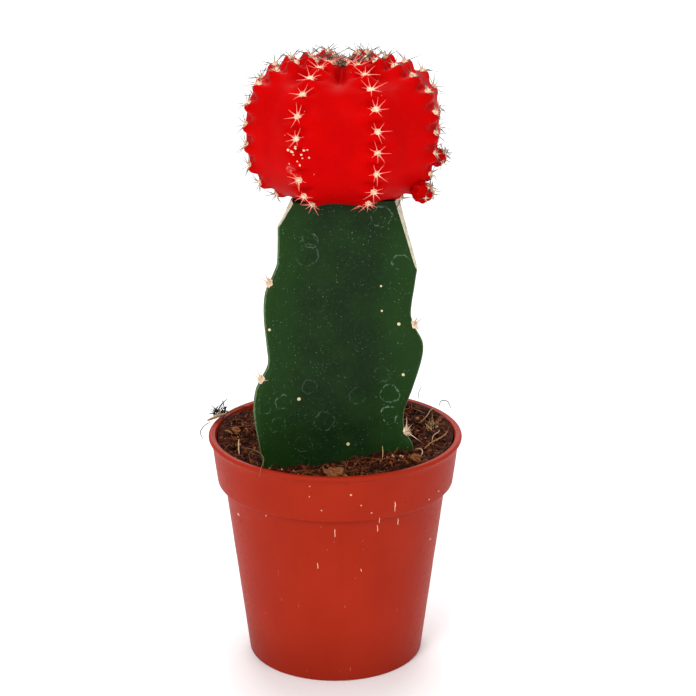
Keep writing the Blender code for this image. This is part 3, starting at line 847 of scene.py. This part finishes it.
def build_stem(skin, cut):
    heights = [STEM_FOOT_Z + h for h in (0.0, 0.5, 1.4, 2.8)]
    heights += list(np.linspace(STEM_FOOT_Z + 4.5, 44, 10))
    heights += list(np.arange(44.4, GRAFT_Z, 0.42)) + [GRAFT_Z]
    shrink = {0: 0.5, 1: 0.68, 2: 0.82, 3: 0.93}  # rounds the buried foot
    points, edge_values = [], []
    for row, z in enumerate(heights):
        centre = stem_centre(z)
        ring = []
        for outline, turn in RIBS.values():
            half = rib_half_section(curve_through(outline, z))
            whole = [(Vector((p.x, -p.y)), near) for p, near in reversed(half[1:])] + half[:-1]
            rotate = Matrix.Rotation(turn, 2)
            ring += [(rotate @ p, near) for p, near in whole]
        for p, near in ring:
            p = p * shrink.get(row, 1.0)
            swell = (0.45 * lump(p.x, p.y, z, 9.0) + 0.12 * lump(p.x, p.y, z, 2.6)) * (1 - near**4)
            p = p + p.normalized() * swell
            points.append((centre.x + p.x, centre.y + p.y, z))
            edge_values.append(near)
    faces = tube_faces(len(heights), len(points) // len(heights))
    stem = make_piece("stem", points, faces, skin, ["rootstock"], {"edge": edge_values})
    stem.data.materials.append(cut)
    slice_ribs(stem)


def slice_ribs(stem):
    """Cuts the slants below the graft. The cut faces sink a little inside the skin's raised edge."""
    bm = bmesh.new()
    bm.from_mesh(stem.data)
    bmesh.ops.recalc_face_normals(bm, faces=bm.faces)
    for facing, top_reach, low_reach, low_z in RIB_TRIMS.values():
        turn = math.radians(facing)
        out = Vector((math.cos(turn), math.sin(turn), 0))
        slope = out * (low_reach - top_reach) - Vector((0, 0, GRAFT_Z - low_z))
        normal = Vector((-out.y, out.x, 0)).cross(slope).normalized()
        if normal.dot(out) < 0:
            normal.negate()
        point = (stem_centre(GRAFT_Z) + out * top_reach) * MM
        bmesh.ops.bisect_plane(bm, geom=bm.verts[:] + bm.edges[:] + bm.faces[:], dist=1e-7,
                               plane_co=point, plane_no=normal, clear_outer=True)
        rim = {v for e in bm.edges if e.is_boundary for v in e.verts}
        bmesh.ops.remove_doubles(bm, verts=list(rim), dist=0.06 * MM)
        caps = bmesh.ops.holes_fill(bm, edges=[e for e in bm.edges if e.is_boundary])["faces"]
        cut_faces = list(caps)
        for depth, width in ((0.0, 0.12), (-0.12, 0.2), (-0.04, 0.4)):
            ring = bmesh.ops.inset_region(bm, faces=caps, thickness=width * MM, depth=depth * MM,
                                          use_even_offset=False)["faces"]
            cut_faces += ring if depth else []  # the first ring stays the skin's own rim
        for face in cut_faces:
            face.material_index = 1
    bm.to_mesh(stem.data)
    bm.free()
    stem.data.set_sharp_from_angle(angle=math.radians(50))


def build_stem_areoles(felt, spine_material):
    """Felt and short spines in the notches of the ribs' edges."""
    for side, (outline, turn) in RIBS.items():
        out = Vector((math.cos(turn), math.sin(turn), 0))
        across = Vector((-out.y, out.x, 0))
        for level, z in zip(("lower", "upper"), STEM_AREOLES[side]):
            reach = curve_through(outline, z)
            slope = curve_through(outline, z + 0.5) - curve_through(outline, z - 0.5)
            normal = (out - Vector((0, 0, slope))).normalized()
            upward = (Vector((0, 0, 1)) + out * slope).normalized()
            seat = stem_centre(z) + out * (reach + 0.1)
            node = f"stem_areole_{side}_{level}"
            heap = Heap()
            heap.add_blob(BALLS[3], seat, [across * 0.72, upward * 0.9, normal * 0.5], 0.1, wobble=0.4)
            for _ in range(70):
                spread = Vector(rng.normal(size=3)) * 0.5
                start = seat + across * rng.normal(0, 0.4) + upward * rng.normal(0, 0.5) + normal * 0.25
                heap.add_spine(start, normal + spread, rng.uniform(0.4, 0.95), 0.035, spread * 0.15,
                               rng.random() * 0.5, 4, 3)
            heap_piece(f"stem_felt_{side}_{level}", heap, felt, [node])
            spines = Heap()
            fans = ((0.9, -0.5, 2.4), (0.35, 0.9, 2.9), (1.1, 0.3, 1.7), (0.1, -1.0, 2.2))
            if (side, level) == ("right", "lower"):
                fans = ((-1.4, 0.2, 4.6), (1.6, 0.1, 3.4), (0.5, 0.5, 2.2), (0.2, -0.8, 1.9))
            for up, aside, length in fans:
                direction = normal * 0.85 + upward * (up + rng.normal(0, 0.1)) + across * aside
                spines.add_spine(seat + normal * 0.2, direction, length, 0.15,
                                 upward * rng.uniform(-0.3, 0.1), rng.random(), 8, 8)
            heap_piece(f"stem_spines_{side}_{level}", spines, spine_material, [node])


# Scion

def scion_profile():
    """Rows of (path length, radius, height) down the globe's outline from its crown."""
    samples = 1600
    angles = math.pi / 2 - math.pi * np.arange(samples + 1) / samples
    power = 2 / SCION_SQUARENESS
    radius = SCION_R * np.maximum(np.cos(angles), 0) ** power
    half = np.where(angles > 0, SCION_TOP, SCION_BOTTOM)
    height = SCION_MID_Z + half * np.sign(np.sin(angles)) * np.abs(np.sin(angles)) ** power
    height = height - np.where(angles > 0, CROWN_DIP * np.exp(-((radius / CROWN_DIP_R) ** 2)), 0)
    height = np.maximum(height, GRAFT_Z + 0.35)
    length = np.concatenate([[0], np.cumsum(np.hypot(np.diff(radius), np.diff(height)))])
    return length, radius, height


SCION_PATH = scion_profile()


def on_profile(s):
    """Radius, height and outward normal (radial, vertical) at path length s."""
    length, radius, height = SCION_PATH
    r, z = np.interp(s, length, radius), np.interp(s, length, height)
    r2, z2 = np.interp(s + 0.6, length, radius), np.interp(s + 0.6, length, height)
    r1, z1 = np.interp(s - 0.6, length, radius), np.interp(s - 0.6, length, height)
    along = math.hypot(r2 - r1, z2 - z1) or 1.0
    return r, z, (-(z2 - z1) / along, (r2 - r1) / along)


def tubercle_height(phase):
    """One tubercle from the notch above it: a slope that carries the areole, a round chin, an undercut."""
    rise = 0.58
    if phase < rise:
        return 0.5 - 0.5 * math.cos(math.pi * phase / rise)
    return 0.5 + 0.5 * math.cos(math.pi * ((phase - rise) / (1 - rise)) ** 1.25)


def areole_s(rib, place):
    """How far down the rib an areole sits, as a path length from the crown."""
    return FIRST_AREOLE_S + RIB_STAGGER[rib] + place * AREOLE_PITCH


def scion_push(s, rib, across, radius):
    """How far the surface stands from the smooth profile, and how deep in a hollow it is."""
    size = float(smooth_step(radius, 1.0, 9.0))
    crown = 1 - float(smooth_step(s, 8.0, 18.0))
    u = abs(across)
    groove = (0.5 - 0.5 * math.cos(math.pi * u)) ** (1.2 + 1.3 * crown)
    underside = float(smooth_step(s, 36.0, 44.0))
    depth = (1.0 + 1.9 * crown - 0.8 * underside) * size
    travel = (s - FIRST_AREOLE_S - RIB_STAGGER[rib]) / AREOLE_PITCH + AREOLE_PHASE
    phase = travel % 1.0
    swell = tubercle_height(phase)
    crest = math.exp(-((u / (0.26 + 0.2 * crown)) ** 2))
    bead = (1.75 + 0.5 * crown) * size * (swell - 0.4) * crest
    # hollow is also the mask of the painted shade that the skin puts in grooves and notches
    hollow = min(1.0, groove * (0.12 + 0.8 * crown) + 0.25 * crest * (1 - swell) ** 2)
    return -depth * groove + bead, hollow


def scion_point(s, rib, across):
    """A surface point, its outward normal and how deep in a hollow it is.

    across is 0 on the crest of rib number rib, and 1 or -1 in the grooves beside it."""
    rib, across = (rib + round(across / 2)) % SCION_RIBS, across - 2 * round(across / 2)
    radius, height, normal = on_profile(s)
    azimuth = FIRST_RIB + (rib + across / 2) * math.tau / SCION_RIBS
    push, hollow = scion_push(s, rib, across, radius)
    uneven = lump(radius * math.sin(azimuth), radius * math.cos(azimuth), height, 4.0)
    push += 0.16 * uneven * min(1, radius / 8)
    r = max(radius + normal[0] * push, 0.05)
    z = height + normal[1] * push
    place = Vector((SCION_X + r * math.sin(azimuth), -r * math.cos(azimuth), max(z, GRAFT_Z + 0.32)))
    outward = Vector((normal[0] * math.sin(azimuth), -normal[0] * math.cos(azimuth), normal[1]))
    return place, outward, hollow


def build_scion(material):
    total = SCION_PATH[0][-1]
    rows = list(np.linspace(0.5, total - 6, 210)) + list(np.linspace(total - 5.5, total - 0.4, 8))
    per_rib = 34
    points, hollows = [], []
    for s in rows:
        for rib in range(SCION_RIBS):
            for i in range(per_rib):
                across = 2 * i / per_rib - 1
                place, _, hollow = scion_point(s, rib, math.copysign(abs(across) ** 1.15, across))
                points.append(place)
                hollows.append(hollow)
    faces = tube_faces(len(rows), SCION_RIBS * per_rib)
    scion = make_piece("globe", points, faces, material, ["scion"], {"hollow": hollows})
    flip_outwards(scion)


def areole_cluster(felt, spines, seat, normal, size, dark, spine_count, spine_length=2.3):
    """A felt cushion with a star of thin curved spines."""
    across, _ = direction_frame(normal)
    upward = normal.cross(across).normalized()
    if upward.z < 0:
        upward.negate()
    cushion = [across * 0.85 * size, upward * 0.76 * size, normal * 0.6 * size]
    felt.add_blob(BALLS[2], seat - normal * 0.1, cushion, rng.random() * 0.3, wobble=0.55)
    for _ in range(round(30 * size)):
        spread = across * rng.normal(0, 0.75) + upward * rng.normal(0, 0.75)
        start = seat + (across * rng.normal(0, 0.32) + upward * rng.normal(0, 0.28)) * size + normal * 0.1
        felt.add_spine(start, normal + spread, rng.uniform(0.35, 0.75) * size, 0.04, spread * 0.12,
                       rng.random() * 0.7, 4, 2)
    first = rng.uniform(0, math.tau)
    for i in range(spine_count):
        turn = first + math.tau * (i + rng.uniform(-0.25, 0.25)) / spine_count
        spread = around(across, upward, turn)
        direction = spread + normal * rng.uniform(0.25, 0.8)
        length = rng.uniform(0.8, 1.2) * spine_length * size
        bend = normal * rng.uniform(-0.5, 0.4) + across * rng.uniform(-0.35, 0.35)
        tint = min(1.0, max(0.0, dark + rng.normal(0, 0.12)))
        root = seat + normal * 0.15 + spread * 0.25
        spines.add_spine(root, direction, length, rng.uniform(0.075, 0.11), bend, tint)


def build_scion_areoles(felt_material, spine_material):
    total = SCION_PATH[0][-1]
    for rib in range(SCION_RIBS):
        felt, spines = Heap(), Heap()
        for k in range(AREOLES_PER_RIB):
            s = areole_s(rib, k)
            if s > total - 10.5 or (rib, k) == LOST_AREOLE:
                continue
            seat, normal, _ = scion_point(s, rib, 0.0)
            normal = (normal + Vector((0, 0, 0.35 * float(smooth_step(s, 8.0, 18.0))))).normalized()
            size = 1.05 - 0.25 * float(smooth_step(s, 12.0, 34.0))
            length = 2.6 + 0.8 * RIB_DARKNESS[rib]
            areole_cluster(felt, spines, seat, normal, size, RIB_DARKNESS[rib], 7, length)
        heap_piece(f"rib_{rib + 1}_felt", felt, felt_material, ["scion"])
        heap_piece(f"rib_{rib + 1}_spines", spines, spine_material, ["scion"])


def build_scar(material):
    """A patch of small corky dots where one areole of the front rib was lost."""
    heap = Heap()
    rib, place = LOST_AREOLE
    middle = areole_s(rib, place)
    for _ in range(14):
        seat, normal, _ = scion_point(middle + rng.normal(-0.2, 1.7), rib, rng.uniform(-0.36, 0.36))
        side, up = direction_frame(normal)
        size = rng.uniform(0.16, 0.34)
        axes = [side * size, up * size, normal * size * 0.5]
        heap.add_blob(BALLS[2], seat, axes, rng.random() * 0.6, 0.3)
    heap_piece("corky_dots", heap, material, ["scion"])


def offset_surface(centre, axis, radius):
    """Points of a warty ball, in rings from its tip, and how deep in a hollow each one is."""
    side, up = direction_frame(axis)
    points, hollows = [], []
    for row in range(OFFSET_ROWS):
        polar = 0.03 + (math.pi - 0.06) * row / (OFFSET_ROWS - 1)
        shift = math.pi if int(polar / WART_PITCH) % 2 else 0
        belt = abs(math.sin(math.pi * polar / WART_PITCH)) ** 0.7
        for i in range(OFFSET_STEPS):
            turn = math.tau * i / OFFSET_STEPS
            wart = 0.13 * math.cos(WARTS * turn + shift) * math.sin(polar) * belt
            local = around(side, up, turn) * math.sin(polar) + axis * math.cos(polar)
            points.append(centre + local * (radius * (1 + wart)))
            # the hollow value between the warts darkens the skin there as painted shade
            hollows.append(min(1.0, max(0.0, 0.35 - 2.6 * wart)))
    return points, hollows


def build_offsets(skin, felt_material, spine_material):
    """Young shoots: small warty balls with dark bristly areoles."""
    faces = tube_faces(OFFSET_ROWS, OFFSET_STEPS)
    for name, (degrees, distance, height, radius) in OFFSETS.items():
        azimuth = math.radians(degrees)
        out = Vector((math.sin(azimuth), -math.cos(azimuth), 0))
        centre = Vector((SCION_X, 0, height)) + out * distance
        axis = (out + Vector((0, 0, 0.7))).normalized()
        points, hollows = offset_surface(centre, axis, radius)
        values = {"hollow": hollows}
        shoot = make_piece(f"offset_{name}", points, faces, skin, ["scion"], values)
        flip_outwards(shoot)
        side, up = direction_frame(axis)
        felt, spines = Heap(), Heap()
        for row, polar in enumerate((0.3, 1.15)):
            for i in range(4):
                turn = math.tau * (i + 0.5 * (row % 2)) / 4
                local = around(side, up, turn) * math.sin(polar) + axis * math.cos(polar)
                if local.dot(out) > 0.1:
                    areole_cluster(felt, spines, centre + local * radius * 1.02, local, 0.36, 1.0, 4, 4.4)
        heap_piece(f"offset_{name}_felt", felt, felt_material, ["scion"])
        heap_piece(f"offset_{name}_spines", spines, spine_material, ["scion"])


def build_crown(material, felt_material, spine_material):
    """Withered flower remains, wool and dark bristles in the crown's hollow."""
    crown = Vector((SCION_X, 0, on_profile(0.8)[1]))
    rags = Heap()
    for _ in range(26):
        turn, lean = rng.uniform(0, math.tau), rng.uniform(0.1, 0.9)
        heading = Vector((math.cos(turn) * lean, math.sin(turn) * lean, 1)).normalized()
        start = crown + Vector((*rng.normal(0, 0.9, 2), -0.2))
        length = rng.uniform(1.2, 2.8)
        bend = Vector(rng.normal(size=3)) * 0.5
        rags.add_spine(start, heading, length, rng.uniform(0.1, 0.26), bend, rng.random(), 7, 6)
    for _ in range(7):
        size = rng.uniform(0.4, 0.8)
        place = crown + Vector((*rng.normal(0, 1.1, 2), 0.3))
        rags.add_blob(BALLS[3], place, random_axes((size, size * 0.7, size * 0.6)), rng.random(), 0.6)
    heap_piece("crown_remains", rags, material, ["crown_tuft"])
    felt, spines = Heap(), Heap()
    for ring, count in ((2.2, 6), (3.5, 8)):
        for i in range(count):
            turn = math.tau * (i + rng.uniform(-0.2, 0.2)) / count
            seat, normal, _ = scion_point(ring, 0, 2 * turn * SCION_RIBS / math.tau)
            normal = (normal + Vector((0, 0, 0.9))).normalized()
            areole_cluster(felt, spines, seat, normal, 0.6, 1.0, 8, 5.2)
    heap_piece("crown_felt", felt, felt_material, ["scion"])
    heap_piece("crown_spines", spines, spine_material, ["scion"])


# Loose scraps

LIP_TOP = POT_HEIGHT + 0.3
# Fibres as (path, thickness), and each path is (x, y, lift) over the soil or over the pot's lip
ROOTS_RIGHT = ((((19.2, -8.6, 0.2), (20.6, -6.6, 0.6), (22.6, -4.4, 0.6), (23.8, -2.4, 0.5),
                 (24.4, -0.6, 0.4)), 0.3),
               (((20.9, -5.4, 0.5), (21.3, -3.2, 0.8), (22.4, -1.6, 0.9), (22.8, 0.4, 0.5)), 0.16),
               (((22.1, 14.1, 0.4), (21.1, 11.3, 0.7), (20.3, 8.5, 0.7), (18.7, 5.8, 0.3)), 0.22),
               (((17.2, 15.0, 0.2), (18.4, 12.2, 0.7), (20.0, 10.9, 0.4)), 0.18),
               (((17.3, -8.6, 0.3), (18.4, -10.2, 0.8), (18.6, -12.0, 0.7), (18.0, -13.6, 0.3)), 0.24),
               (((10.1, -11.4, -0.2), (10.2, -11.5, 1.4), (10.1, -11.3, 2.8)), 0.2))
FIBRES_LEFT = ((((-20.6, -7.4, 0.2), (-20.8, -5.6, 0.6), (-20.9, -3.8, 0.6), (-20.9, -2.0, 0.3)), 0.3),
               (((-24.1, 0.9, 0.5), (-23.3, 0.3, 0.8), (-22.4, -0.2, 0.5)), 0.36))
TWIG = ((((-19.0, 13.2, 0.9), (-21.6, 11.6, 1.0), (-23.6, 9.8, 0.6), (-25.6, 8.4, 0.5)), 0.36),)
DARK_HAIRS = ((((-26.4, 10.0, 0.4), (-25.6, 12.0, 1.4), (-24.4, 14.6, 2.0)), 0.28),
              (((-25.4, 14.2, 1.8), (-25.0, 12.4, 1.2), (-24.6, 10.6, 0.4)), 0.24),
              (((-27.2, 4.6, 0.3), (-28.6, 2.2, 0.2), (-29.4, -0.4, -0.4), (-28.6, -2.6, -1.2)), 0.2),
              (((23.2, 14.6, 0.2), (23.8, 15.2, 1.3), (25.2, 15.0, 1.2), (26.0, 13.8, -0.2)), 0.2),
              (((18.7, 19.0, 0.2), (18.9, 19.4, 2.0), (19.6, 19.2, 3.4)), 0.16))
STALKS = ((((-24.2, 7.8, 0.9), (-25.4, 7.2, 0.8), (-26.8, 6.4, 0.5), (-28.2, 5.4, 0.2)), 0.7),
          (((-20.0, -6.7, -1.6), (-17.4, -9.6, -0.9), (-15.4, -14.6, -0.2), (-14.8, -19.6, 0.4),
            (-15.2, -22.9, 0.2), (-15.6, -22.9, -1.8)), 0.14))


def on_soil(x, y, lift):
    return Vector((x, y, soil_level(x, y) + SOIL_ROUGHNESS + lift))


def on_lip(x, y, lift):
    return Vector((x, y, LIP_TOP + lift))


def build_chips(bark):
    chips = {"bark_chip_front": (on_soil(0.4, -17.6, 0.6), (2.6, 1.6, 1.15)),
             "bark_chip_left": (on_soil(-21.6, 1.6, 0.3), (1.2, 0.8, 0.6)),
             "bark_chip_right": (on_soil(17.2, -13.6, 0.4), (1.05, 0.8, 0.7)),
             "bark_chip_back": (on_soil(-8.0, 19.6, 0.6), (2.1, 1.4, 0.9))}
    for node, (place, size) in chips.items():
        heap = Heap()
        heap.add_blob(BALLS[4], place, random_axes(size), rng.random(), wobble=0.75)
        for _ in range(4):
            near = place + Vector((*rng.normal(0, size[0] * 0.7, 2), -0.35))
            axes = random_axes([s * rng.uniform(0.2, 0.45) for s in size])
            heap.add_blob(BALLS[3], near, axes, rng.random(), 0.7)
        heap_piece(node + "_shape", heap, bark, [node])


def fibre_heap(fibres, over):
    """Fibres whose path points are placed by the function over."""
    heap = Heap()
    steps = 26
    for path, thickness in fibres:
        places = [over(*p) for p in path]
        centres = [path_through(places, k / steps) for k in range(steps + 1)]
        radii = [thickness / 2 * (1 - 0.45 * abs(2 * k / steps - 1) ** 2) for k in range(steps + 1)]
        heap.add_tube(centres, radii, 7, rng.random())
    return heap


def build_loose_fibres(straw, bark, moss):
    """Single roots, straws and hairs."""
    pieces = (("loose_roots_right", ROOTS_RIGHT, on_soil, straw, "dry_plant", "root_fibre_right"),
              ("loose_fibres_left", FIBRES_LEFT, on_soil, straw, "dry_plant", "coir_fibre_left"),
              ("twigs_on_rim", TWIG, on_lip, bark, "bark", "twig_on_rim"),
              ("dark_hairs_on_rim", DARK_HAIRS, on_lip, moss, "bark", "twig_on_rim"),
              ("stalk_on_rim", STALKS, on_lip, straw, "dry_plant", "twig_on_rim"))
    for name, fibres, over, material, slot, node in pieces:
        heap_piece(name, fibre_heap(fibres, over), material, [node])


def build_moss(moss, straw):
    """Tufts of dry moss: dark ones left on the lip and right of the stem, and a yellowish one."""
    dark = ((-26.7, 8.8, 1.5, 46, 0.65), (-25.0, 9.4, 1.3, 46, 0.65), (20.4, -1.6, 0.4, 20, 0.6))
    yellow = ((22.0, 3.6, 0.4, 26, 0.8), (20.8, 1.6, 0.3, 14, 0.7))
    for name, material, tufts in (("dry_moss", moss, dark), ("yellow_moss", straw, yellow)):
        heap = Heap()
        for x, y, lift, count, size in tufts:
            for _ in range(count):
                root = on_soil(x, y, lift) + Vector(rng.normal(size=3)) * size * 0.55
                heading = Vector(rng.normal(size=3)) + Vector((0, 0, 0.4))
                heap.add_spine(root, heading, rng.uniform(0.8, 1.9) * size, rng.uniform(0.07, 0.14),
                               Vector(rng.normal(size=3)) * 0.5, rng.random(), 5, 5)
        heap_piece(name, heap, material, ["potting_soil"])


# Studio, in metres

FLOOR_R = 6.0
CAMERA_PLACE = (0.00279, -0.4138, 0.2056)
CAMERA_TILT = 18.17  # degrees down from level
CAMERA_LENS = 104.7


def build_studio():
    floor = bpy.data.meshes.new("floor")
    bm = bmesh.new()
    bmesh.ops.create_circle(bm, cap_ends=True, segments=96, radius=FLOOR_R)
    bm.to_mesh(floor)
    bm.free()
    floor.materials.append(paint_floor())
    ground = add_object("floor", floor)
    world = bpy.data.worlds.new("studio")
    world.use_nodes = True
    background = world.node_tree.nodes["Background"]
    background.inputs["Color"].default_value = (1, 1, 1, 1)
    background.inputs["Strength"].default_value = 0.7
    bpy.context.scene.world = world
    add_softbox("key", (-0.45, -0.95, 0.75), 0.5, 7.4)
    add_softbox("fill", (0.8, -0.7, 0.5), 0.6, 2.0)
    add_softbox("top", (0.0, 0.2, 1.1), 0.6, 2.6)
    add_softbox("floor_behind", (0.0, 2.0, 1.3), 2.0, 30.0, (0.0, 1.2, 0.0))


def add_softbox(name, place, size, power, target=(0, 0, 0.075)):
    light = bpy.data.lights.new(name, "AREA")
    light.shape = "DISK"
    light.size = size
    light.energy = power
    box = add_object(name, light)
    box.location = place
    box.rotation_euler = (Vector(target) - Vector(place)).to_track_quat("-Z", "Y").to_euler()


def build_camera():
    camera = bpy.data.cameras.new("camera")
    camera.sensor_width = 36
    camera.lens = CAMERA_LENS
    camera.clip_start = 0.01
    rig = add_object("camera", camera)
    rig.location = CAMERA_PLACE
    rig.rotation_euler = (math.radians(90 - CAMERA_TILT), 0, 0)
    bpy.context.scene.camera = rig


def main():
    bpy.context.scene.view_settings.view_transform = "Standard"
    build_camera()
    build_studio()
    peat = paint_soil()
    bark = paint_bark()
    straw = paint_fibre("straw", (0.62, 0.42, 0.22), (0.28, 0.13, 0.05))
    coir = paint_fibre("coir", (0.27, 0.075, 0.024), (0.03, 0.008, 0.004))
    moss = paint_fibre("dry_moss", (0.05, 0.028, 0.011), (0.012, 0.009, 0.006))
    remains = paint_fibre("withered_flower", (0.34, 0.17, 0.09), (0.07, 0.025, 0.02))
    red = paint_scion()
    felt = paint_felt()
    bristle = paint_bristle()
    thorn = paint_spine("stem_spine", (0.75, 0.58, 0.36), (0.6, 0.42, 0.26), (0.25, 0.13, 0.08))
    build_pot(paint_pot())
    build_soil(peat)
    build_crumbs(peat)
    build_coir(coir)
    build_stem(paint_stem(), paint_cut())
    build_stem_areoles(felt, thorn)
    build_scion(red)
    build_scion_areoles(felt, bristle)
    build_scar(felt)
    build_offsets(red, felt, bristle)
    build_crown(remains, felt, bristle)
    build_chips(bark)
    build_loose_fibres(straw, bark, moss)
    build_moss(moss, straw)


main()
